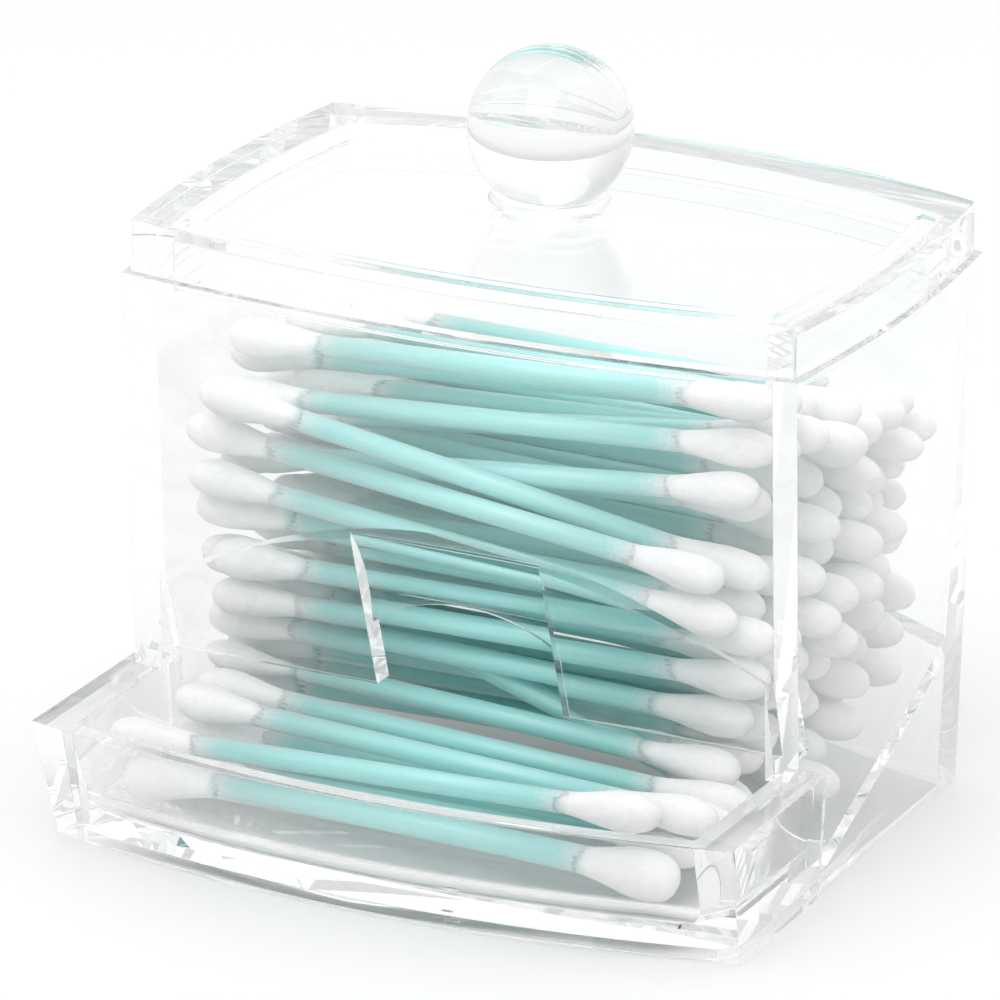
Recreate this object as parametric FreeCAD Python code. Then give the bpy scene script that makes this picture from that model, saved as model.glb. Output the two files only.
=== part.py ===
"""Cotton swab storage box: a clear moulded tower with a bowed plan, a lift-off lid with a ball knob,
a sloping floor that feeds a tray at the front, and the cotton swabs that it holds.

Millimetres. +X is the width, -Y the front with the tray, +Z up. The origin is on the ground, at the
middle of the whole outline.
"""
import FreeCAD, Part

import math
import os
import random

V = FreeCAD.Vector
os.makedirs("parts", exist_ok=True)

# Tower: a bowed rectangle in plan. Its front and back walls lean together towards the ground.
AXIS_Y = 9.1  # depth of the tower's mid plane
SEAM_Z = 68.5  # top face of the box, where the lid sits
TOWER_HALF_W = 45.2  # between the corners
TOWER_HALF_D = (23.9, 28.0)  # at the ground and at the seam
FRONT_BOW = 4.0
BACK_BOW = 7.7
SIDE_BOW = (0.0, 1.8)

# Walls and floors
SIDE_WALL = 4.1
END_WALL = 3.0
FLOOR_UNDER = 1.5  # the floor hangs this far above the ground, inside a foot rim
FLOOR_TOP = 4.2
RAMP_START_Y = -3.9  # where the ramp leaves the floor
RAMP_SLOPE = math.tan(math.radians(23.9))

# Tray: flares forwards from its foot to its rim
RIM_Z = 16.5
TRAY_HALF_W = (46.2, 47.0)  # at the ground and at the rim
TRAY_CORNER_Y = (-34.2, -39.3)
TRAY_BOW = (6.5, 5.5)
TRAY_BACK_Y = -11.2  # its side walls overlap the tower and end here
TRAY_INNER_HALF_W = (40.6, 41.6)  # at the floor and at the rim
TRAY_INNER_CORNER_Y = (-31.7, -37.7)
TRAY_INNER_BOW = (5.0, 4.2)
TRAY_ROUND = 3.5  # radius where its walls meet its floor
ROUND_STEPS = 3

# Front wall: its lower part slopes in, to hold the swabs back above the outlet
OUTLET_Z = 18.5
OUTLET_Y = -13.5  # outer face at the wall's bottom edge
WALL_SLOPE = 0.344
SLOPE_TOP_Z = 50.0  # above where the slope leaves the bowed wall
SLOPED_WALL = 3.3  # thickness along Y

# Vestige of the moulding gate, under the tray's floor
GATE_AT = (8.0, -32.5)
GATE_R = 1.0
GATE_H = 0.9

# Finger notch: a scoop in the sloping wall that ends in an arched gap
NOTCH_HALF_W = 12.7
ARCH_SIDE_Z = 27.0
ARCH_TOP_Z = 31.5
SCOOP_R = 25.0
SCOOP_AXIS = (-39.6, 24.1)  # Y and Z of the scoop's axis

# Lid
LID_INSET = 0.8
LID_EDGE = 6.7
LID_PANEL = 2.7
LID_RIM_W = 5.0
LIP_DEPTH = 2.3
LIP_GAP = 0.3

# Knob
BALL_R = 10.3
BALL_Z = 85.7
KNOB_X = -0.7  # the knob is bonded on a little off the middle
FOOT_R = 7.6
FOOT_BASE_R = 6.8
FOOT_H = 2.3

# Swabs: a plastic stick with a bud of cotton wound on each end. They are many, so each is a ring of flats.
SWAB_LENGTH = 75.0
STICK_R = 1.4
BUD_R = 2.65
BUD_LENGTH = 13.5
BUD_PROFILE = ((0.0, 1.5), (2.3, 2.6), (4.6, BUD_R), (BUD_LENGTH, 1.7))  # distance from its end, radius
FLATS = 6
SWAB_GAP = 0.15

# Where the swabs lie: x of the middle, then (y, z) of the axis at x = -REACH and at x = REACH.
REACH = 37.0
TRAY_SWABS = (
    (-0.4, (-31.0, 7.1), (-31.4, 7.1)),
    (1.5, (-18.3, 7.1), (-20.2, 7.1)),
    (-1.0, (-12.6, 7.1), (-14.2, 7.1)),
    (0.5, (-26.2, 8.3), (-26.6, 9.3)),
    (2.0, (-21.1, 11.4), (-21.6, 11.8)),
    (-3.4, (-30.4, 13.1), (-31.6, 16.0)),
    (2.2, (-23.4, 16.0), (-26.5, 14.2)),
    (1.9, (-17.2, 16.2), (-16.6, 13.0)),
    (-1.7, (-5.8, 17.6), (-12.6, 15.1)),
    (0.2, (0.5, 27.5), (-9.0, 9.3)),
)
FRONT_SWABS = (  # those seen through the front wall
    (0.3, (-12.9, 54.0), (-4.5, 38.5)),
    (-3.2, (-9.0, 47.0), (-13.9, 39.7)),
    (-1.7, (-10.5, 41.8), (-13.2, 33.8)),
    (-2.0, (-8.6, 37.2), (-4.0, 33.0)),
    (1.5, (-10.3, 30.8), (-8.2, 32.0)),
    (0.8, (-8.3, 24.7), (-7.2, 27.0)),
    (-0.9, (-3.0, 17.8), (-1.3, 19.8)),
    (-2.6, (1.7, 14.7), (4.1, 16.1)),
    (-2.6, (-4.9, 13.2), (-3.2, 14.8)),
    (0.8, (-5.0, 58.0), (-6.0, 61.0)),
    (-1.5, (-1.0, 54.4), (-2.0, 57.4)),
    (3.6, (5.0, 48.5), (6.2, 53.0)),
    (1.2, (1.5, 45.5), (-2.0, 58.2)),
    (-0.4, (-8.6, 50.3), (-4.5, 53.9)),
    (-1.0, (-5.0, 42.2), (-8.0, 51.3)),
    (-1.6, (2.0, 42.5), (-3.2, 47.4)),
)
PITCH_Y = 5.0  # spacing of the swabs in the heap
PITCH_Z = 4.5
HEAP_TOP = ((-8.0, 51.0), (6.0, 58.0), (21.0, 55.0), (33.0, 49.5))  # (y, z) along the top of the heap
PLACED_EASE = 0.15  # how readily a swab placed one by one gives way, against 1 for the rest
CLEAR_START = 3.0  # a swab of the heap starts at least this far from those placed one by one
FALL_STEP = 0.05
FALL_STEPS = 60
LAYERS = 8
WALL_STATIONS = (-37, -35, -33, -28, -24, -12, 0, 12, 24, 28, 33, 35, 37)  # from a swab's middle


def at_height(pair, z, top=SEAM_Z):
    """The value of a tapering size at height z, from its values at the ground and at top."""
    return pair[0] + (pair[1] - pair[0]) * z / top


def bowed_wire(half_w, front_y, back_y, bows, z):
    """A level rectangle whose front, back and side edges bow outwards by bows = (front, back, side)."""
    front, back, side = bows
    mid_y = (front_y + back_y) / 2
    corners = [
        V(-half_w, front_y, z),
        V(half_w, front_y, z),
        V(half_w, back_y, z),
        V(-half_w, back_y, z),
    ]
    crowns = [
        V(0, front_y - front, z),
        V(half_w + side, mid_y, z),
        V(0, back_y + back, z),
        V(-half_w - side, mid_y, z),
    ]
    edges = []
    for i, crown in enumerate(crowns):
        start = corners[i]
        end = corners[(i + 1) % 4]
        straight = (start + end) * 0.5
        if crown.distanceToPoint(straight) < 1e-6:
            edges.append(Part.makeLine(start, end))
        else:
            edges.append(Part.Arc(start, crown, end).toShape())
    return Part.Wire(edges)


def tower_wire(z, inset_w=0.0, inset_d=0.0):
    """The tower's outline at height z, or one set in from it by a wall at the sides and the ends."""
    half_d = at_height(TOWER_HALF_D, z) - inset_d
    bows = (FRONT_BOW, BACK_BOW, at_height(SIDE_BOW, z))
    return bowed_wire(TOWER_HALF_W - inset_w, AXIS_Y - half_d, AXIS_Y + half_d, bows, z)


def tower_solid(z0, z1, inset_w=0.0, inset_d=0.0):
    return Part.makeLoft([tower_wire(z0, inset_w, inset_d), tower_wire(z1, inset_w, inset_d)], True, True)


def yz_prism(points, half_w):
    """A solid with the given outline in the YZ plane, reaching half_w either side of the middle."""
    loop = [V(-half_w, y, z) for y, z in points]
    face = Part.Face(Part.makePolygon(loop + loop[:1]))
    return face.extrude(V(2 * half_w, 0, 0))


def tray_loft(half_w, corner_y, bow, z0, z1):
    wires = []
    for i, z in enumerate((z0, z1)):
        wires.append(bowed_wire(half_w[i], corner_y[i], TRAY_BACK_Y, (bow[i], 0, 0), z))
    return Part.makeLoft(wires, True, True)


def tray_rings():
    """Outlines of the tray's cavity, its foot rounded in steps: (z, half width, corner's y, bow)."""
    rings = []
    for i in range(ROUND_STEPS + 1):
        angle = math.pi / 2 * i / ROUND_STEPS
        inset = TRAY_ROUND * (1 - math.sin(angle))
        z = FLOOR_TOP + TRAY_ROUND * (1 - math.cos(angle))
        t = (z - FLOOR_TOP) / (RIM_Z - FLOOR_TOP)
        sizes = (TRAY_INNER_HALF_W, TRAY_INNER_CORNER_Y, TRAY_INNER_BOW)
        half_w, corner_y, bow = (a + (b - a) * t for a, b in sizes)
        rings.append((z, half_w - inset, corner_y + inset, bow))
    rings.append((RIM_Z, TRAY_INNER_HALF_W[1], TRAY_INNER_CORNER_Y[1], TRAY_INNER_BOW[1]))
    return rings


def tray_cavity():
    """The space inside the tray's walls."""
    wires = []
    for z, half_w, corner_y, bow in tray_rings():
        wires.append(bowed_wire(half_w, corner_y, TRAY_BACK_Y, (bow, 0, 0), z))
    return Part.makeLoft(wires, True, True)


def slope_y(z):
    """Outer face of the front wall's sloping part at height z."""
    return OUTLET_Y - WALL_SLOPE * (z - OUTLET_Z)


def ramp_z(y):
    """Upper face of the ramp at depth y."""
    return FLOOR_TOP + RAMP_SLOPE * (y - RAMP_START_Y)


def box_body():
    far_y = 60.0
    outer = tower_solid(0, SEAM_Z)
    outer = outer.fuse(tray_loft(TRAY_HALF_W, TRAY_CORNER_Y, TRAY_BOW, 0, RIM_Z))

    # The tower's cavity stands on the floor and the ramp.
    cavity = tower_solid(FLOOR_TOP, SEAM_Z + 1, SIDE_WALL, END_WALL)
    under_ramp = [(RAMP_START_Y, 0), (far_y, 0), (far_y, ramp_z(far_y)), (RAMP_START_Y, FLOOR_TOP)]
    cavity = cavity.cut(yz_prism(under_ramp, 60))

    # Below the floor and the ramp the moulding is open to the ground, inside a foot rim.
    hollow = tower_solid(-1, 40, SIDE_WALL, END_WALL)
    thickness = FLOOR_TOP - FLOOR_UNDER
    above = [
        (-far_y, FLOOR_UNDER),
        (RAMP_START_Y, FLOOR_UNDER),
        (far_y, ramp_z(far_y) - thickness),
        (far_y, 60),
        (-far_y, 60),
    ]
    hollow = hollow.cut(yz_prism(above, 60))
    half_w = TRAY_HALF_W[0] - SIDE_WALL
    corner_y = TRAY_CORNER_Y[0] + END_WALL
    tray_foot = tray_loft((half_w, half_w), (corner_y, corner_y), TRAY_BOW, -1, FLOOR_UNDER)
    gate = Part.makeCylinder(GATE_R, GATE_H + 1, V(*GATE_AT, FLOOR_UNDER - GATE_H))
    hollow = hollow.fuse(tray_foot).cut(gate)

    # The tray's cavity runs back under the front wall.
    tray = tray_cavity()
    near_y = TRAY_BACK_Y - 6
    inside_y = TRAY_BACK_Y + 8
    mouth = [(near_y, FLOOR_TOP), (inside_y, FLOOR_TOP), (inside_y, OUTLET_Z), (near_y, OUTLET_Z)]
    passage = yz_prism(mouth, TRAY_INNER_HALF_W[0])

    # In front of the sloping wall, between the side walls.
    inner_half_w = TOWER_HALF_W - SIDE_WALL
    top_y = slope_y(SLOPE_TOP_Z)
    outside = [
        (-far_y, RIM_Z),
        (-far_y, SLOPE_TOP_Z),
        (top_y, SLOPE_TOP_Z),
        (OUTLET_Y, OUTLET_Z),
        (OUTLET_Y, RIM_Z),
    ]
    recess = yz_prism(outside, inner_half_w)

    body = outer.cut([cavity, hollow, tray, passage, recess])
    sloped = [
        (OUTLET_Y, OUTLET_Z),
        (top_y, SLOPE_TOP_Z),
        (top_y + SLOPED_WALL, SLOPE_TOP_Z),
        (OUTLET_Y + SLOPED_WALL, OUTLET_Z),
    ]
    slab = yz_prism(sloped, inner_half_w + 1)
    body = body.fuse(slab.common(tower_solid(0, SEAM_Z)))
    return body.cut(finger_notch()).removeSplitter()


def finger_notch():
    """The scoop's cylinder with the arched gap below it, both as wide as the notch."""
    wall_front = -24.0
    wall_back = -4.0
    width = 2 * NOTCH_HALF_W
    cylinder = Part.makeCylinder(SCOOP_R, width, V(-NOTCH_HALF_W, *SCOOP_AXIS), V(1, 0, 0))
    reach = Part.makeBox(width, wall_back - wall_front, 40, V(-NOTCH_HALF_W, wall_front, RIM_Z + 0.5))
    scoop = cylinder.common(reach)
    left = V(-NOTCH_HALF_W, wall_front, ARCH_SIDE_Z)
    right = V(NOTCH_HALF_W, wall_front, ARCH_SIDE_Z)
    down = V(0, 0, RIM_Z + 0.5 - ARCH_SIDE_Z)
    arch = Part.Arc(left, V(0, wall_front, ARCH_TOP_Z), right).toShape()
    edges = [arch]
    edges.append(Part.makeLine(right, right + down))
    edges.append(Part.makeLine(right + down, left + down))
    edges.append(Part.makeLine(left + down, left))
    outline = Part.Wire(edges)
    gap = Part.Face(outline).extrude(V(0, wall_back - wall_front, 0))
    return scoop.fuse(gap)


def lid():
    top_z = SEAM_Z + LID_EDGE

    def outline(z, inset):
        half_d = TOWER_HALF_D[1] - inset
        bows = (FRONT_BOW, BACK_BOW, SIDE_BOW[1])
        return bowed_wire(TOWER_HALF_W - inset, AXIS_Y - half_d, AXIS_Y + half_d, bows, z)

    def block(z0, z1, inset):
        return Part.Face(outline(z0, inset)).extrude(V(0, 0, z1 - z0))

    shell = block(SEAM_Z, top_z, LID_INSET)
    lip_inset = max(SIDE_WALL, END_WALL) + LIP_GAP
    lip = block(SEAM_Z - LIP_DEPTH, SEAM_Z + 1, lip_inset)
    hollow = block(SEAM_Z - LIP_DEPTH - 1, top_z - LID_PANEL, LID_INSET + LID_RIM_W)
    return shell.fuse(lip).cut(hollow).removeSplitter()


def knob():
    """A solid ball seated in a low round foot, turned about the vertical."""
    base_z = SEAM_Z + LID_EDGE
    foot_z = base_z + FOOT_H
    seat_r = math.sqrt(BALL_R**2 - (BALL_Z - foot_z) ** 2)
    ball_top = V(0, 0, BALL_Z + BALL_R)
    points = [V(0, 0, base_z), V(FOOT_BASE_R, 0, base_z), V(FOOT_R, 0, foot_z), V(seat_r, 0, foot_z)]
    edges = [Part.makeLine(points[i], points[i + 1]) for i in range(3)]
    edges.append(Part.Arc(points[3], V(BALL_R, 0, BALL_Z), ball_top).toShape())
    edges.append(Part.makeLine(ball_top, points[0]))
    turned = Part.Face(Part.Wire(edges)).revolve(V(0, 0, 0), V(0, 0, 1), 360)
    turned.translate(V(KNOB_X, AXIS_Y, 0))
    return turned


class Swab:
    """A swab's place: the x of its middle and the (y, z) of its straight axis at x = -REACH and REACH."""

    def __init__(self, middle, left, right):
        self.middle = middle
        self.ends = [list(left), list(right)]
        self.ease = PLACED_EASE

    def at(self, x):
        t = (x + REACH) / (2 * REACH)
        (y0, z0), (y1, z1) = self.ends
        return y0 + (y1 - y0) * t, z0 + (z1 - z0) * t

    def push(self, x, dy, dz):
        """Move the axis by (dy, dz) where it crosses x, and the rest of it as little as can be."""
        t = (x + REACH) / (2 * REACH)
        near = (1 - t, t)
        total = near[0] ** 2 + near[1] ** 2
        for end, share in zip(self.ends, near):
            end[0] += dy * share / total
            end[1] += dz * share / total

    def radius(self, x):
        """Radius of the swab where it crosses x, or 0 beyond its ends."""
        from_end = SWAB_LENGTH / 2 - abs(x - self.middle)
        if from_end < 0:
            return 0
        if from_end > BUD_LENGTH:
            return STICK_R
        for (s0, r0), (s1, r1) in zip(BUD_PROFILE, BUD_PROFILE[1:]):
            if from_end <= s1:
                return r0 + (r1 - r0) * (from_end - s0) / (s1 - s0)

    def frame(self):
        """Its middle and its direction."""
        y, z = self.at(self.middle)
        (y0, z0), (y1, z1) = self.ends
        return V(self.middle, y, z), V(2 * REACH, y1 - y0, z1 - z0).normalize()


def interpolate(pairs, x):
    for (x0, v0), (x1, v1) in zip(pairs, pairs[1:]):
        if x <= x1:
            break
    return v0 + (v1 - v0) * (min(max(x, pairs[0][0]), pairs[-1][0]) - x0) / (x1 - x0)


def bow_at(bow, half_w, x):
    return bow * (1 - (x / half_w) ** 2)


def keep_inside(swab, x, in_tray):
    """Push a swab off the floor, the ramp and the walls where it crosses x."""
    r = swab.radius(x) + SWAB_GAP
    y, z = swab.at(x)
    lean = math.sqrt(1 + RAMP_SLOPE**2)
    deep = (ramp_z(y) - z) / lean + r
    if deep > 0:
        swab.push(x, -deep * RAMP_SLOPE / lean, deep / lean)
    if z < FLOOR_TOP + r:
        swab.push(x, 0, FLOOR_TOP + r - z)
    half_w = TOWER_HALF_W - SIDE_WALL
    back = AXIS_Y + at_height(TOWER_HALF_D, z) - END_WALL + bow_at(BACK_BOW, half_w, x) - r
    if y > back:
        swab.push(x, back - y, 0)
    if in_tray:
        keep_off_tray_wall(swab, x, r)
    keep_off_slope(swab, x, r, in_tray)
    if not in_tray:
        front = AXIS_Y - at_height(TOWER_HALF_D, z) + END_WALL - bow_at(FRONT_BOW, half_w, x) + r
        if y < front:
            swab.push(x, front - y, 0)


def keep_off_tray_wall(swab, x, r):
    """Push a swab off the tray's front wall and its rounded foot, facet by facet."""
    section = [(corner_y - bow_at(bow, half_w, x), z) for z, half_w, corner_y, bow in tray_rings()]
    for (y0, z0), (y1, z1) in zip(section, section[1:]):
        y, z = swab.at(x)
        length = math.hypot(y1 - y0, z1 - z0)
        inward_y = (z1 - z0) / length
        inward_z = (y0 - y1) / length
        deep = r - (y - y0) * inward_y - (z - z0) * inward_z
        if deep > 0:
            swab.push(x, deep * inward_y, deep * inward_z)


def keep_off_slope(swab, x, r, in_tray):
    """Push a swab off the sloping wall, taken as a thick line with a round lower edge."""
    y, z = swab.at(x)
    half = SLOPED_WALL / 2
    z0 = (ARCH_TOP_Z if abs(x) < NOTCH_HALF_W else OUTLET_Z) + half - 0.4
    y0 = slope_y(z0) + half
    lean = math.sqrt(1 + WALL_SLOPE**2)
    along = max(0, ((z - z0) - WALL_SLOPE * (y - y0)) / lean)
    near_y = y0 - WALL_SLOPE * along / lean
    near_z = z0 + along / lean
    dy = y - near_y
    dz = z - near_z
    if along > 0 and dy < 0 and not in_tray:
        dy = max(dy, -0.1)
        swab.push(x, r + half - dy, 0)
        return
    gap = math.hypot(dy, dz)
    deep = r + half + 0.3 - gap
    if deep > 0:
        swab.push(x, dy / gap * deep, dz / gap * deep)


def keep_apart(a, b, stations):
    """Push two swabs apart where they overlap, and say by how much they did."""
    worst = 0
    for x in stations:
        reach = a.radius(x) + b.radius(x) + SWAB_GAP
        if a.radius(x) == 0 or b.radius(x) == 0:
            continue
        ya, za = a.at(x)
        yb, zb = b.at(x)
        dy = yb - ya
        dz = zb - za
        if abs(dy) > reach or abs(dz) > reach:
            continue
        gap = max(math.hypot(dy, dz), 0.01)
        deep = reach - gap
        if deep > 0:
            worst = max(worst, deep)
            move = deep / gap / (a.ease + b.ease)
            a.push(x, -dy * move * a.ease, -dz * move * a.ease)
            b.push(x, dy * move * b.ease, dz * move * b.ease)
    return worst


def least_gap(a, b):
    """Least distance between the axes of two swabs, taken at stations along them."""
    return min(math.dist(a.at(x), b.at(x)) for x in (-34, -27, -14, 0, 14, 27, 34))


def heap():
    """The swabs' starting places: those in sight one by one, and the rest of the heap row by row."""
    chance = random.Random(11)
    tray = [Swab(*place) for place in TRAY_SWABS]
    front = [Swab(*place) for place in FRONT_SWABS]
    inner = []
    z = FLOOR_TOP + 3
    row = 0
    while z < 60:
        y = max(-8.0, slope_y(z) + SLOPED_WALL + 9.0) + PITCH_Y / 2 * (row % 2)
        back = AXIS_Y + at_height(TOWER_HALF_D, z) - END_WALL
        while y < back - 2.0:
            if ramp_z(y) + 2.5 < z < interpolate(HEAP_TOP, y):
                turn = chance.uniform(-2.0, 2.0)
                tilt = chance.uniform(-1.5, 1.5) - 1.0
                middle = chance.uniform(-3.2, 3.2)
                swab = Swab(middle, (y - turn, z - tilt), (y + turn, z + tilt))
                swab.ease = 1.0
                if all(least_gap(swab, other) > CLEAR_START for other in tray + front):
                    inner.append(swab)
            y += PITCH_Y
        z += PITCH_Z
        row += 1
    return tray, front, inner


def settle(tray, others):
    """Move the swabs as little as needed until none cut each other or the box."""
    swabs = tray + others
    stations = [2.4 * i for i in range(-16, 17)]
    for step in range(400):
        fall = FALL_STEP if step < FALL_STEPS else 0
        for swab in others:
            for end in swab.ends:
                end[1] -= fall * (swab.ease == 1.0)
        worst = 0
        for i, a in enumerate(swabs):
            for b in swabs[i + 1:]:
                close = min(math.hypot(p[0] - q[0], p[1] - q[1]) for p, q in zip(a.ends, b.ends))
                crossed = (a.ends[0][0] - b.ends[0][0]) * (a.ends[1][0] - b.ends[1][0]) < 0
                if close < 6.5 or crossed:
                    worst = max(worst, keep_apart(a, b, stations))
        for swab in swabs:
            for offset in WALL_STATIONS:
                keep_inside(swab, swab.middle + offset, swab in tray)
        if step > FALL_STEPS and worst < 0.06:
            break
    return swabs


def flats(profile, end, direction):
    """A solid of flat faces: rings at (distance from end, radius) round an axis, joined and closed."""
    across = direction.cross(V(0, 0, 1)).normalize()
    up = across.cross(direction)
    rings = []
    for distance, radius in profile:
        points = []
        for i in range(FLATS):
            angle = 2 * math.pi * i / FLATS
            spoke = across * math.cos(angle) + up * math.sin(angle)
            points.append(end + direction * distance + spoke * radius)
        rings.append(points)
    outlines = [rings[0], rings[-1]]
    for near, far in zip(rings, rings[1:]):
        for i in range(FLATS):
            j = (i + 1) % FLATS
            outlines.append([near[i], near[j], far[j], far[i]])
    faces = [Part.Face(Part.makePolygon(points + points[:1])) for points in outlines]
    solid = Part.Solid(Part.Shell(faces))
    return solid if solid.Volume > 0 else solid.reversed()


def swab_solids(swab):
    """The stick and the two buds of one swab."""
    middle, direction = swab.frame()
    half = SWAB_LENGTH / 2
    stick_half = half - BUD_LENGTH
    stick = flats(((0, STICK_R), (2 * stick_half, STICK_R)), middle - direction * stick_half, direction)
    buds = [flats(BUD_PROFILE, middle - way * half, way) for way in (direction, direction * -1)]
    return stick, buds


def export(name, shapes):
    shape = shapes[0] if len(shapes) == 1 else Part.makeCompound(shapes)
    shape.exportStep("parts/" + name + ".step")


export("box_body", [box_body()])
export("lid", [lid()])
export("knob", [knob()])

tray, front, inner = heap()
settle(tray, front + inner)
for number, swab in enumerate(tray, 1):
    stick, buds = swab_solids(swab)
    export("tray_swab_%d_stick" % number, [stick])
    export("tray_swab_%d_buds" % number, buds)
inner.sort(key=lambda swab: swab.ends[0][1] + swab.ends[1][1])
cuts = [round(i * len(inner) / LAYERS) for i in range(LAYERS + 1)]
groups = [("front", front)] + [("layer_%d" % (i + 1), inner[cuts[i]:cuts[i + 1]]) for i in range(LAYERS)]
for name, swabs in groups:
    solids = [swab_solids(swab) for swab in swabs]
    export(name + "_sticks", [stick for stick, buds in solids])
    export(name + "_buds", [bud for stick, buds in solids for bud in buds])
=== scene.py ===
import math

import bmesh
import bpy
import numpy as np
from mathutils import Matrix, Vector


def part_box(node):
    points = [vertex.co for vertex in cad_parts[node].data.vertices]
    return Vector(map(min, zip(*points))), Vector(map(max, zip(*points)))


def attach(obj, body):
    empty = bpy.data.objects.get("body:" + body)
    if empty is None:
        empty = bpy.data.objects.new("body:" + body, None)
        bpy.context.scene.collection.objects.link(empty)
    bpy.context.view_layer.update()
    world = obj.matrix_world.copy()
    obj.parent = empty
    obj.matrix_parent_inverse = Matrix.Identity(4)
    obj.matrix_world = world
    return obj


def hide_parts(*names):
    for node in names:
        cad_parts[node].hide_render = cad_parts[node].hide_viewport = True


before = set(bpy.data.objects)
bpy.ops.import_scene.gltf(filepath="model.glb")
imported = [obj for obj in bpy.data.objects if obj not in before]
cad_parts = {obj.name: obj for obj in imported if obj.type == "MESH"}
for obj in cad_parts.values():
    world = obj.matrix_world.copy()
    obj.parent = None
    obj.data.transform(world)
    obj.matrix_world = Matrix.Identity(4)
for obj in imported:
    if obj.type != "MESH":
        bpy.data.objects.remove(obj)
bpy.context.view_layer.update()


# ---- The box -------------------------------------------------------------------------------
# One clear injection moulding in crystal polystyrene: tower, ramp, front tray and the sloping
# front wall with its finger notch. The mould leaves its edges crisp, with only a hair of
# rounding, and its faces polished.

EDGE_ROUNDING = 0.00022
JOIN_DISTANCE = 2e-6
FLAT = math.radians(0.4)
SAME_WALL = math.radians(6)
SHARP = math.radians(24)
WIDE_WALL = 2.5e-4  # square metres
SMALL_FACET = 1e-6  # square metres: too small to judge a fit by
WORST_FIT = 0.04  # how far a wall's fitted normal may be from a facet's own
SAME_SIDE = 0.5  # cosine of the widest turn over which a rounded edge takes its wall's normal
AIR_FILM = 0.00005
AT_SEAT = 1e-5  # how near the seat's height a corner that lies on it is
CRYSTAL_TINT = (0.993, 0.997, 0.996)
CRYSTAL_IOR = 1.52
DULLED = 0.022  # roughness where handling has worn the polish
SCRATCHED = 0.03  # and what the hairlines add to it


def number_walls(work):
    """Give each face the number of its wall: faces that meet at a small angle are one wall."""
    layer = work.faces.layers.int.new("wall")
    number = 0
    for seed in work.faces:
        if seed[layer]:
            continue
        number += 1
        seed[layer] = number
        waiting = [seed]
        while waiting:
            face = waiting.pop()
            for edge in face.edges:
                if edge.calc_face_angle(math.pi) < SAME_WALL:
                    for other in edge.link_faces:
                        if not other[layer]:
                            other[layer] = number
                            waiting.append(other)


def quadratic(points, middle, span):
    """The ten terms of a quadratic in position, a row for each point.

    Positions are taken from the middle and divided by the span, so they run from about -1 to 1.
    """
    x, y, z = ((points - middle) / span).T
    return np.stack([np.ones_like(x), x, y, z, x * x, y * y, z * z, x * y, y * z, z * x], axis=1)


def read(rows, name, width=1, kind=np.float64):
    """One property of all of a mesh's vertices, faces or corners as an array."""
    values = np.empty(len(rows) * width, dtype=kind)
    rows.foreach_get(name, values)
    return values.reshape(-1, width) if width > 1 else values


def follow_walls(mesh):
    """Set corner normals that follow each wide wall's curve instead of its facets.

    Over a wall the facets' normals, weighted by area, are fitted by a quadratic in position. A
    rounded edge takes the wall's normal where it meets the wall, so it runs into it with no crease.
    """
    wall = read(mesh.attributes["wall"].data, "value", kind=np.int32)
    wall[read(mesh.polygons, "material_index", kind=np.int32) == 1] = 0
    area = read(mesh.polygons, "area")
    centre = read(mesh.polygons, "center", 3)
    facing = read(mesh.polygons, "normal", 3)
    face = np.repeat(np.arange(len(wall)), read(mesh.polygons, "loop_total", kind=np.int32))
    vertex = read(mesh.loops, "vertex_index", kind=np.int32)
    point = read(mesh.vertices, "co", 3)
    normal = read(mesh.corner_normals, "vector", 3)
    wide = np.zeros(len(face), dtype=bool)
    met = np.zeros_like(point)
    for number in np.unique(wall[wall > 0]):
        faces = wall == number
        if area[faces].sum() < WIDE_WALL:
            continue
        here = faces[face]
        middle = point[vertex[here]].mean(axis=0)
        span = np.ptp(point[vertex[here]], axis=0) / 2 + 1e-4
        weight = np.sqrt(area[faces])[:, None]
        terms = quadratic(centre[faces], middle, span)
        fit = np.linalg.lstsq(terms * weight, facing[faces] * weight, rcond=1e-4)[0]
        misfit = np.abs(terms @ fit - facing[faces])[area[faces] > SMALL_FACET]
        if misfit.max(initial=0) > WORST_FIT:
            continue
        curved = quadratic(point[vertex[here]], middle, span) @ fit
        curved /= np.linalg.norm(curved, axis=1)[:, None]
        normal[here] = curved
        wide |= here
        np.add.at(met, vertex[here], curved)
    length = np.linalg.norm(met, axis=1)
    met /= np.maximum(length, 1e-9)[:, None]
    same_side = (met[vertex] * facing[face]).sum(axis=1) > SAME_SIDE
    joins = ~wide & (length[vertex] > 0) & same_side
    normal[joins] = met[vertex[joins]]
    mesh.normals_split_custom_set(normal.tolist())


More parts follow.
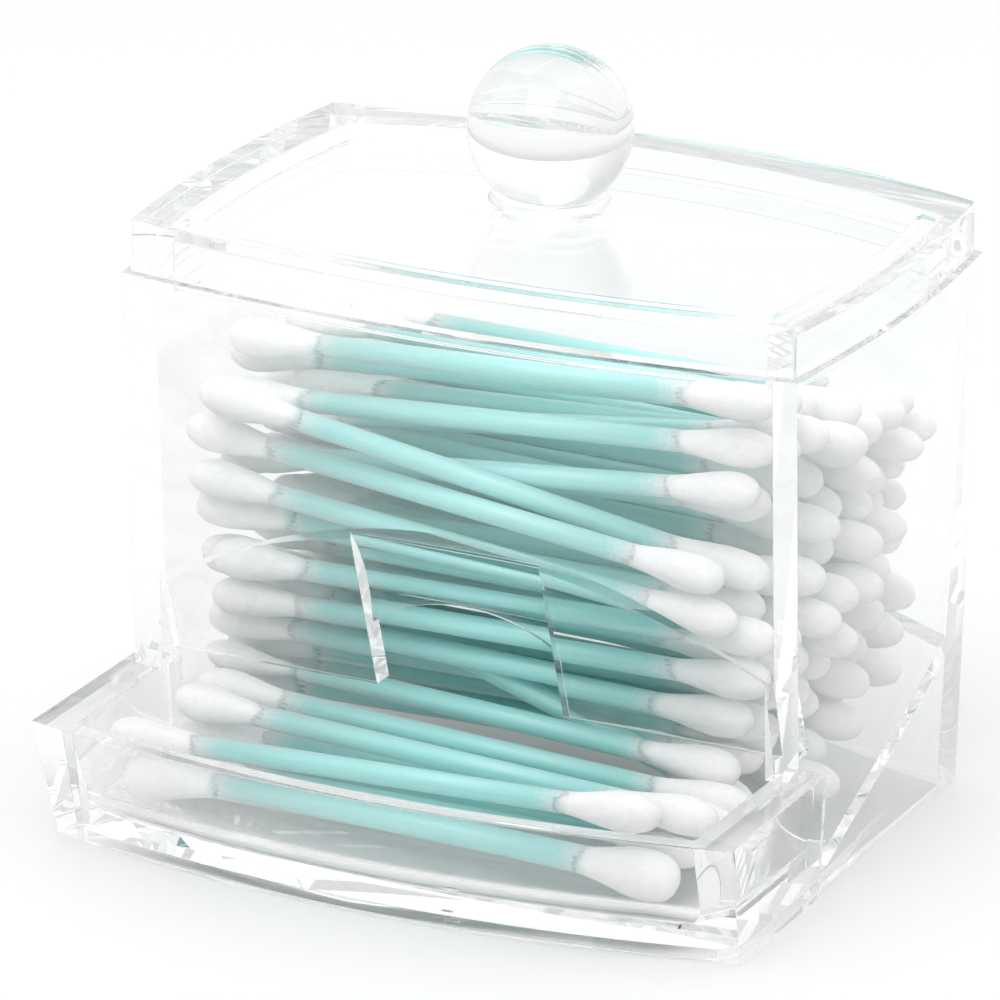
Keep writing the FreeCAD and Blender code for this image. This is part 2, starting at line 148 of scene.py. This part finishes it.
def finished(node, name, seat):
    """A CAD node's triangles joined into whole walls, with its sharp edges slightly rounded.

    Its faces at the height seat, which rest on another clear piece, are raised by the thin film of
    air between the two.
    """
    mesh = bpy.data.meshes.new(name)
    work = bmesh.new()
    work.from_mesh(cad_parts[node].data)
    bmesh.ops.remove_doubles(work, verts=work.verts, dist=JOIN_DISTANCE)
    bmesh.ops.dissolve_limit(work, angle_limit=FLAT, verts=work.verts, edges=work.edges)
    number_walls(work)
    for face in work.faces:
        face.smooth = True
    for edge in work.edges:
        edge.smooth = edge.calc_face_angle(math.pi) < SHARP
    work.to_mesh(mesh)
    work.free()
    if seat:
        points = read(mesh.vertices, "co", 3)
        points[np.abs(points[:, 2] - seat) < AT_SEAT, 2] += AIR_FILM
        mesh.vertices.foreach_set("co", points.ravel())
        mesh.update()
    sharp = bpy.data.objects.new(name + "_sharp", mesh)
    bpy.context.collection.objects.link(sharp)
    bevel = sharp.modifiers.new("crisp edges", "BEVEL")
    bevel.width = EDGE_ROUNDING
    bevel.segments = 2
    bevel.limit_method = "ANGLE"
    bevel.angle_limit = SHARP
    bevel.material = 1
    mesh.materials.append(None)
    mesh.materials.append(None)
    bevelled = sharp.evaluated_get(bpy.context.evaluated_depsgraph_get())
    rounded = bpy.data.meshes.new_from_object(bevelled)
    bpy.data.objects.remove(sharp)
    follow_walls(rounded)
    one_material = np.zeros(len(rounded.polygons), dtype=np.int32)
    rounded.polygons.foreach_set("material_index", one_material)
    rounded.materials.clear()
    piece = bpy.data.objects.new(name, rounded)
    bpy.context.collection.objects.link(piece)
    return piece


class Socket:
    """A shader value that takes Python's operators and adds the nodes they stand for."""

    def __init__(self, tree, output):
        self.tree = tree
        self.output = output

    def node(self, kind, values=(), out=0, **settings):
        """Add a node: its settings first, then its inputs by number or name.

        Each input takes a plain value or another socket, and out is the output that is handed back.
        """
        made = self.tree.nodes.new(kind)
        for key, value in settings.items():
            setattr(made, key, value)
        for key, value in dict(values).items():
            if isinstance(value, Socket):
                self.tree.links.new(value.output, made.inputs[key])
            else:
                made.inputs[key].default_value = value
        return Socket(self.tree, made.outputs[out])

    def math(self, operation, *values):
        """This value and any others through one Math node."""
        return self.node("ShaderNodeMath", dict(enumerate((self, *values))), operation=operation)

    def __add__(self, other):
        return self.math("ADD", other)

    def __radd__(self, other):
        return self.node("ShaderNodeMath", {0: other, 1: self}, operation="ADD")

    def __sub__(self, other):
        return self.math("SUBTRACT", other)

    def __rsub__(self, other):
        return self.node("ShaderNodeMath", {0: other, 1: self}, operation="SUBTRACT")

    def __mul__(self, other):
        return self.math("MULTIPLY", other)

    def __rmul__(self, other):
        return self.node("ShaderNodeMath", {0: other, 1: self}, operation="MULTIPLY")

    def clamped(self, low, high):
        """0 below low, 1 above high and straight between."""
        span = {0: self, 1: low, 2: high, 3: 0.0, 4: 1.0}
        return self.node("ShaderNodeMapRange", span, clamp=True)

    def mixed(self, first, second):
        """The colour first where this is 0 and second where it is 1."""
        return self.node("ShaderNodeMix", {0: self, 6: first, 7: second}, out=2, data_type="RGBA")


def new_material(name):
    """A material with its Principled shader, and a socket to start its nodes from."""
    material = bpy.data.materials.new(name)
    material.use_nodes = True
    tree = material.node_tree
    return material, tree.nodes["Principled BSDF"], Socket(tree, None)


def connect(node, socket_name, value):
    """Lead a value into a named input of a node that is there already."""
    value.tree.links.new(value.output, node.inputs[socket_name])


def clear_plastic(name, tint):
    """Polished clear plastic, which light from the lamps passes straight through.

    Handling leaves its polish a little duller in soft patches, with fine hairlines across them.
    """
    material, shader, nodes = new_material(name)
    shader.inputs["Base Color"].default_value = (*tint, 1)
    shader.inputs["IOR"].default_value = CRYSTAL_IOR
    shader.inputs["Transmission Weight"].default_value = 1.0
    place = nodes.node("ShaderNodeTexCoord", out="Object")
    patches = nodes.node(
        "ShaderNodeTexNoise", {"Vector": place, "Scale": 45.0, "Detail": 3.0, "Roughness": 0.6}
    )
    drawn = nodes.node(
        "ShaderNodeVectorMath", {0: place, 1: (60.0, 60.0, 2600.0)}, operation="MULTIPLY"
    )
    hairlines = nodes.node("ShaderNodeTexNoise", {"Vector": drawn, "Scale": 1.0, "Detail": 1.0})
    worn = patches.clamped(0.5, 0.75)
    connect(shader, "Roughness", worn * DULLED + worn * hairlines.clamped(0.62, 0.7) * SCRATCHED)
    passed = (*[math.sqrt(c) for c in tint], 1)
    through = nodes.node("ShaderNodeBsdfTransparent", {"Color": passed})
    in_shadow = nodes.node("ShaderNodeLightPath", out="Is Shadow Ray")
    plastic = Socket(nodes.tree, shader.outputs["BSDF"])
    surface = nodes.node("ShaderNodeMixShader", {0: in_shadow, 1: plastic, 2: through})
    connect(nodes.tree.nodes["Material Output"], "Surface", surface)
    return material


crystal = clear_plastic("crystal plastic", CRYSTAL_TINT)
box = finished("box_body", "clear_box", None)
box.data.materials.append(crystal)
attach(box, "box")
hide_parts("box_body")


# ---- The lid -------------------------------------------------------------------------------
# A second clear moulding: a flat panel in a deep solid rim, with a thin lip below that drops
# inside the tower and keeps the lid in its place.

SEAM_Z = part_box("box_body")[1][2]

lid = finished("lid", "clear_lid", SEAM_Z)
lid.data.materials.append(crystal)
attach(lid, "lid")
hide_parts("lid")


# ---- The knob ------------------------------------------------------------------------------
# A solid clear ball seated in a low round foot with a rounded upper edge. The foot is bonded to
# the lid's panel, a little off its middle.

def turned_grid(profile, radius, middles, directions, around):
    """Surfaces of revolution, one per axis.

    A point is middle + direction * profile + radius * (across * cos a + up * sin a), where across
    is square to the axis and to Y, and a goes once round. The vertices come back in an array of
    axes, rings, around and 3.
    """
    across = np.cross(directions, (0, 1, 0))
    across /= np.linalg.norm(across, axis=1)[:, None]
    up = np.cross(across, directions)
    angle = (np.arange(around) * 2 * math.pi / around)[None, :, None]
    ring = across[:, None, :] * np.cos(angle) + up[:, None, :] * np.sin(angle)
    centre = middles[:, None, :] + directions[:, None, :] * profile[:, :, None]
    return centre[:, :, None, :] + ring[:, None, :, :] * radius[..., None]


def grid_mesh(name, grid, along):
    """A mesh from closed rings of vertices, with both ends capped.

    Its UV map, lie, holds the distance along the axis as x and the part of a turn round it as y.
    """
    axes, rings, around, _ = grid.shape
    a, r, k = np.meshgrid(np.arange(axes), np.arange(rings - 1), np.arange(around), indexing="ij")
    here = (a * rings + r) * around
    after = (k + 1) % around
    quads = np.stack([here + k, here + around + k, here + around + after, here + after], axis=-1)
    base = np.arange(axes)[:, None] * rings * around
    first = base + np.arange(around)
    last = base + (rings - 1) * around + np.arange(around)[::-1]
    mesh = bpy.data.meshes.new(name)
    faces = quads.reshape(-1, 4).tolist() + first.tolist() + last.tolist()
    mesh.from_pydata(grid.reshape(-1, 3).tolist(), [], faces)
    mesh.polygons.foreach_set("use_smooth", np.ones(len(mesh.polygons), dtype=bool))
    turn = np.broadcast_to(np.arange(around) / around, (axes, rings, around))
    place = np.stack([np.broadcast_to(along[..., None], turn.shape), turn], axis=-1).reshape(-1, 2)
    corner = read(mesh.loops, "vertex_index", kind=np.int32)
    mesh.uv_layers.new(name="lie").uv.foreach_set("vector", place[corner].ravel())
    mesh.update()
    return mesh


def put(name, mesh, material, body, node):
    """Place a finished mesh as the piece that stands for a CAD node."""
    piece = bpy.data.objects.new(name, mesh)
    bpy.context.collection.objects.link(piece)
    mesh.materials.append(material)
    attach(piece, body)
    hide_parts(node)


FOOT_R = 0.0076
FOOT_BASE_R = 0.0068
FOOT_H = 0.0023
FOOT_EDGE = 0.0008
EDGE_RINGS = 6
BALL_RINGS = 64
KNOB_SIDES = 96
TOP_RING = math.pi - 0.002  # the last ring, just short of the ball's top, which its cap closes

low, high = (np.array(corner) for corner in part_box("knob"))
ball_r = (high[0] - low[0]) / 2
ball_z = high[2] - ball_r
foot_z = low[2] + FOOT_H
seat_angle = math.acos((ball_z - foot_z) / ball_r)
turn = np.linspace(seat_angle, TOP_RING, BALL_RINGS)  # from straight down, up over the ball
edge = np.linspace(0, math.pi / 2, EDGE_RINGS)  # the quarter circle round the foot's upper edge
height = np.concatenate([
    [low[2] + AIR_FILM],
    foot_z - FOOT_EDGE * (1 - np.sin(edge)),
    ball_z - ball_r * np.cos(turn),
])
radius = np.concatenate([
    [FOOT_BASE_R],
    FOOT_R - FOOT_EDGE * (1 - np.cos(edge)),
    ball_r * np.sin(turn),
])
axis = np.array([[(low[0] + high[0]) / 2, (low[1] + high[1]) / 2, 0]])
upright = np.array([[0.0, 0.0, 1.0]])
grid = turned_grid(height[None], radius[None, :, None], axis, upright, KNOB_SIDES)
knob_mesh = grid_mesh("clear_knob", grid, height[None])
knob_mesh.set_sharp_from_angle(angle=SHARP)
put("clear_knob", knob_mesh, crystal, "lid", "knob")


# ---- The swab sticks -----------------------------------------------------------------------
# Round plastic sticks in one translucent teal. Each runs on into the cotton at both ends. The
# CAD holds each as a bar of six flats, 48 mm long between its buds.

SWAB_LENGTH = 0.075
BUD_LENGTH = 0.0135
STICK_R = 0.0014
IN_COTTON = 0.003  # how far each stick runs on inside its bud
STICK_SIDES = 16
FLATS_TRIANGLES = 20
TRAY_SWABS = 10
LAYERS = 8
TEAL_DEEP = (0.365, 0.775, 0.75, 1)
TEAL_PALE = (0.425, 0.81, 0.79, 1)
WISP_WHITE = (0.88, 0.92, 0.91, 1)
WISP_SPREAD = 0.007
WISPS_FROM, WISPS_TO = 0.0008, 0.0056  # past the neck: where the wisps begin, and where they cover


def stick_axes(node):
    """Middles and unit directions of the sticks in a CAD node.

    The corners of a stick's triangles are parted into its left and right end. Each end's middle is
    halfway between its lowest and highest corner on every axis.
    """
    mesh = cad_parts[node].data
    corners = read(mesh.loops, "vertex_index", kind=np.int32)
    points = read(mesh.vertices, "co", 3)[corners].reshape(-1, FLATS_TRIANGLES * 3, 3)
    x = points[:, :, 0]
    left = x < (x.min(axis=1) + x.max(axis=1))[:, None] / 2
    ends = []
    for side in (left, ~left):
        inside = np.where(side[:, :, None], points, np.nan)
        ends.append((np.nanmin(inside, axis=1) + np.nanmax(inside, axis=1)) / 2)
    along = ends[1] - ends[0]
    return (ends[0] + ends[1]) / 2, along / np.linalg.norm(along, axis=1)[:, None]


teal, shader, nodes = new_material("teal stick plastic")
lie = nodes.node("ShaderNodeUVMap", uv_map="lie")
place = nodes.node("ShaderNodeTexCoord", out="Object")
drawn = nodes.node("ShaderNodeVectorMath", {0: lie, 1: (60.0, 16.0, 1.0)}, operation="MULTIPLY")
streaks = nodes.node("ShaderNodeTexNoise", {"Vector": drawn, "Scale": 1.0, "Detail": 3.0})
fibres = nodes.node(
    "ShaderNodeTexNoise", {"Vector": place, "Scale": 1500.0, "Detail": 5.0, "Roughness": 0.7}
)
from_middle = nodes.node("ShaderNodeSeparateXYZ", {0: lie}).math("ABSOLUTE")
neck = SWAB_LENGTH / 2 - BUD_LENGTH
wisps = (from_middle + fibres * WISP_SPREAD).clamped(neck + WISPS_FROM, neck + WISPS_TO)
plastic = streaks.clamped(0.3, 0.7).mixed(TEAL_DEEP, TEAL_PALE)
connect(shader, "Base Color", wisps.mixed(plastic, WISP_WHITE))
connect(shader, "Roughness", streaks * 0.16 + 0.36 + wisps * 0.3)
ridges = streaks + wisps * 0.6
bump = nodes.node("ShaderNodeBump", {"Strength": 0.25, "Distance": 0.00005, "Height": ridges})
connect(shader, "Normal", bump)
shader.inputs["Specular IOR Level"].default_value = 1.0
shader.inputs["Coat Weight"].default_value = 0.6
shader.inputs["Coat Roughness"].default_value = 0.3
shader.inputs["Sheen Weight"].default_value = 0.7
shader.inputs["Sheen Roughness"].default_value = 0.5
shader.inputs["Subsurface Weight"].default_value = 0.65
shader.inputs["Subsurface Radius"].default_value = (0.4, 1.0, 0.9)
shader.inputs["Subsurface Scale"].default_value = 0.0022

in_tray = ["tray_swab_%d" % (i + 1) for i in range(TRAY_SWABS)]
in_tower = ["front"] + ["layer_%d" % (i + 1) for i in range(LAYERS)]
swab_nodes = [(name, name + "_stick") for name in in_tray]
swab_nodes += [(name, name + "_sticks") for name in in_tower]
half = SWAB_LENGTH / 2 - BUD_LENGTH + IN_COTTON
for name, node in swab_nodes:
    middles, directions = stick_axes(node)
    along = np.broadcast_to(np.array([-half, half]), (len(middles), 2))
    radius = np.full((len(middles), 2, 1), STICK_R)
    grid = turned_grid(along, radius, middles, directions, STICK_SIDES)
    sticks = name + "_round_sticks"
    put(sticks, grid_mesh(sticks, grid, along), teal, "box", node)


# ---- The cotton buds -----------------------------------------------------------------------
# Cotton wound tightly on each end of a stick: a blunt round nose, fullest near its end, and a
# long taper that thins out on the stick. The fibres lie round it at a slant.

BUD_R = 0.00262
NECK_R = 0.00146
NOSE = 0.0042
BLUNT = 2.3  # the power of the nose's superellipse
BUD_RINGS = 13
BUD_SIDES = 14
END_RING = 0.00006  # the first ring, just inside the very end, which its cap closes
SLIMMEST = 0.94  # of the full radius, for the thinnest of the buds
UNEVEN = 0.03  # of the radius, in broad lumps that wind round the bud
LUMP_WINDING = 420  # radians for each metre along the bud
RIPPLE_WINDING = 760
RIPPLE = 0.6  # the finer wave's height beside the broad one's
WAVE_TOP = 1.6  # the greatest height of the two together
FRAYED = 0.025  # of the radius, at random
COTTON_SHADE = (0.87, 0.875, 0.87, 1)
COTTON_WHITE = (0.955, 0.958, 0.955, 1)
STICK_SHOWING = (0.50, 0.80, 0.76, 1)
THIN_FROM, THIN_TO = 0.0135, 0.0158  # from the end: where the stick begins to show, and shows fully


def bud_radius(s):
    """The radius at a distance s from the end.

    A blunt superellipse over the nose, then a half cosine from the fullest ring down to the neck.
    """
    nose = (1 - np.clip(1 - s / NOSE, 0, 1) ** BLUNT) ** (1 / BLUNT)
    t = np.clip((s - NOSE) / (BUD_LENGTH - NOSE), 0, 1)
    taper = NECK_R + (BUD_R - NECK_R) * (0.5 + 0.5 * np.cos(math.pi * t**0.92))
    return np.where(s < NOSE, BUD_R * nose, taper)


cotton, shader, nodes = new_material("wound cotton")
lie = nodes.node("ShaderNodeUVMap", uv_map="lie")
place = nodes.node("ShaderNodeTexCoord", out="Object")
strands = nodes.node("ShaderNodeVectorMath", {0: lie, 1: (260.0, 9.0, 1.0)}, operation="MULTIPLY")
wound = nodes.node(
    "ShaderNodeTexNoise", {"Vector": strands, "Scale": 1.0, "Detail": 3.0, "Roughness": 0.6}
)
fluff = nodes.node(
    "ShaderNodeTexNoise", {"Vector": place, "Scale": 900.0, "Detail": 4.0, "Roughness": 0.65}
)
from_end = nodes.node("ShaderNodeSeparateXYZ", {0: lie})
thin = (from_end + fluff * 0.004).clamped(THIN_FROM, THIN_TO)
fuzz = fluff * 0.6 + wound * 0.4
white = fuzz.clamped(0.3, 0.62).mixed(COTTON_SHADE, COTTON_WHITE)
connect(shader, "Base Color", thin.mixed(white, STICK_SHOWING))
bump = nodes.node("ShaderNodeBump", {"Strength": 0.75, "Distance": 0.0003, "Height": fuzz})
connect(shader, "Normal", bump)
shader.inputs["Roughness"].default_value = 1.0
shader.inputs["Specular IOR Level"].default_value = 0.1
shader.inputs["Sheen Weight"].default_value = 0.25
shader.inputs["Sheen Roughness"].default_value = 0.6
shader.inputs["Subsurface Weight"].default_value = 0.7
shader.inputs["Subsurface Radius"].default_value = (1.0, 1.0, 1.0)
shader.inputs["Subsurface Scale"].default_value = 0.0016

chance = np.random.default_rng(5)
step = np.linspace(0, 1, BUD_RINGS)
rings = BUD_LENGTH * (0.45 * step + 0.55 * step**2.2)  # closer together near the end
rings[0] = END_RING
turn = np.arange(BUD_SIDES) * 2 * math.pi / BUD_SIDES
for name, node in swab_nodes:
    middles, directions = stick_axes(node)
    reach = directions * SWAB_LENGTH / 2
    ends = np.concatenate([middles - reach, middles + reach])
    inwards = np.concatenate([directions, -directions])
    along = np.broadcast_to(rings, (len(ends), BUD_RINGS))
    s = along[:, :, None]
    size = chance.uniform(SLIMMEST, 1.0, (len(ends), 1, 1))
    lump = chance.uniform(0, 2 * math.pi, (len(ends), 1, 1))
    wave = np.sin(2 * turn + lump + s * LUMP_WINDING)
    wave = wave + RIPPLE * np.sin(3 * turn - 2 * lump - s * RIPPLE_WINDING)
    frayed = chance.uniform(0, FRAYED, (len(ends), BUD_RINGS, BUD_SIDES))
    uneven = 1 - UNEVEN * (WAVE_TOP + wave) / WAVE_TOP - frayed
    radius = bud_radius(along)[:, :, None] * size * uneven
    grid = turned_grid(along, radius, ends, inwards, BUD_SIDES)
    buds = name + "_cotton"
    put(buds, grid_mesh(buds, grid, along), cotton, "box", name + "_buds")


# ---- Floor, lights and camera --------------------------------------------------------------
# A sheet of white paper in a pale room, with three softboxes. The room is darker overhead, behind
# the camera and to the sides, which gives the clear edges their grey. A long lens about a metre
# off looks down on the box at twenty degrees.

FLOOR_HALF = 6
PAPER_WHITE = (0.95, 0.95, 0.95, 1)
ROOM_COLOUR = (0.975, 0.975, 0.98, 1)
ROOM_LIGHT = 1.24
LESS_OVERHEAD = 0.46
LESS_BEHIND_CAMERA = 0.22
LESS_ASIDE = 0.42
LAMP_AIM = Vector((0, 0.009, 0.04))

floor = bpy.data.objects.new("floor", bpy.data.meshes.new("floor"))
bpy.context.collection.objects.link(floor)
floor_corners = [(x * FLOOR_HALF, y * FLOOR_HALF, 0) for x, y in ((-1, -1), (1, -1), (1, 1), (-1, 1))]
floor.data.from_pydata(floor_corners, [], [(0, 1, 2, 3)])
paper, shader, _ = new_material("white paper")
shader.inputs["Base Color"].default_value = PAPER_WHITE
shader.inputs["Roughness"].default_value = 0.9
shader.inputs["Specular IOR Level"].default_value = 0.0
floor.data.materials.append(paper)

world = bpy.data.worlds.new("studio")
bpy.context.scene.world = world
world.use_nodes = True
room = world.node_tree.nodes["Background"]
room.inputs["Color"].default_value = ROOM_COLOUR
way = Socket(world.node_tree, None).node("ShaderNodeTexCoord")
aside = way.node("ShaderNodeSeparateXYZ", {0: way}).math("ABSOLUTE").clamped(0.5, 0.95)
back = way.node("ShaderNodeSeparateXYZ", {0: way}, out="Y")
overhead = way.node("ShaderNodeSeparateXYZ", {0: way}, out="Z").clamped(0.05, 0.9)
behind_camera = (0 - back).clamped(0.2, 0.9)
darker = ROOM_LIGHT - overhead * LESS_OVERHEAD - behind_camera * LESS_BEHIND_CAMERA
connect(room, "Strength", darker - aside * LESS_ASIDE)


def towards(azimuth, elevation):
    """The unit direction at an azimuth from the front towards +X and an elevation, in degrees."""
    a, e = math.radians(azimuth), math.radians(elevation)
    return Vector((math.sin(a) * math.cos(e), -math.cos(a) * math.cos(e), math.sin(e)))


def softbox(name, azimuth, elevation, distance, size, power):
    """A square area lamp that faces the middle of the box, with its power in watts."""
    out = towards(azimuth, elevation)
    data = bpy.data.lights.new(name, "AREA")
    data.size = size
    data.energy = power
    lamp = bpy.data.objects.new(name, data)
    lamp.location = LAMP_AIM + out * distance
    lamp.rotation_euler = out.to_track_quat("Z", "Y").to_euler()
    bpy.context.collection.objects.link(lamp)


softbox("key softbox", azimuth=5, elevation=55, distance=0.9, size=0.6, power=1.9)
softbox("left softbox", azimuth=-70, elevation=35, distance=1.1, size=0.6, power=0.5)
softbox("top softbox", azimuth=160, elevation=72, distance=1.2, size=1.0, power=3.0)

CAMERA_AIM = Vector((0, 0.0091, 0.04))
CAMERA_AZIMUTH = 25.47
CAMERA_ELEVATION = 19.69
CAMERA_ROLL = math.radians(0.64)
CAMERA_DISTANCE = 1.094
LENS = 318.0  # millimetres
SENSOR = 36.0
SHIFT = (-0.0517, -0.0195)

out = towards(CAMERA_AZIMUTH, CAMERA_ELEVATION)
right = Vector((0, 0, 1)).cross(out).normalized()
up = out.cross(right)
rolled_right = right * math.cos(CAMERA_ROLL) + up * math.sin(CAMERA_ROLL)
rolled_up = up * math.cos(CAMERA_ROLL) - right * math.sin(CAMERA_ROLL)
facing = Matrix((rolled_right, rolled_up, out)).transposed().to_4x4()
camera_data = bpy.data.cameras.new("camera")
camera_data.lens = LENS
camera_data.sensor_width = SENSOR
camera_data.shift_x, camera_data.shift_y = SHIFT
camera = bpy.data.objects.new("camera", camera_data)
camera.matrix_world = Matrix.Translation(CAMERA_AIM + out * CAMERA_DISTANCE) @ facing
bpy.context.collection.objects.link(camera)
bpy.context.scene.camera = camera
bpy.context.scene.view_settings.view_transform = "Standard"
bpy.context.scene.view_settings.look = "None"

BOUNCES = 96  # light caught in the thick clear edges crosses them dozens of times before it leaves
DIFFUSE_BOUNCES = 24
light_paths = bpy.context.scene.cycles
light_paths.max_bounces = BOUNCES
light_paths.glossy_bounces = BOUNCES
light_paths.transmission_bounces = BOUNCES
light_paths.transparent_max_bounces = BOUNCES
light_paths.diffuse_bounces = DIFFUSE_BOUNCES
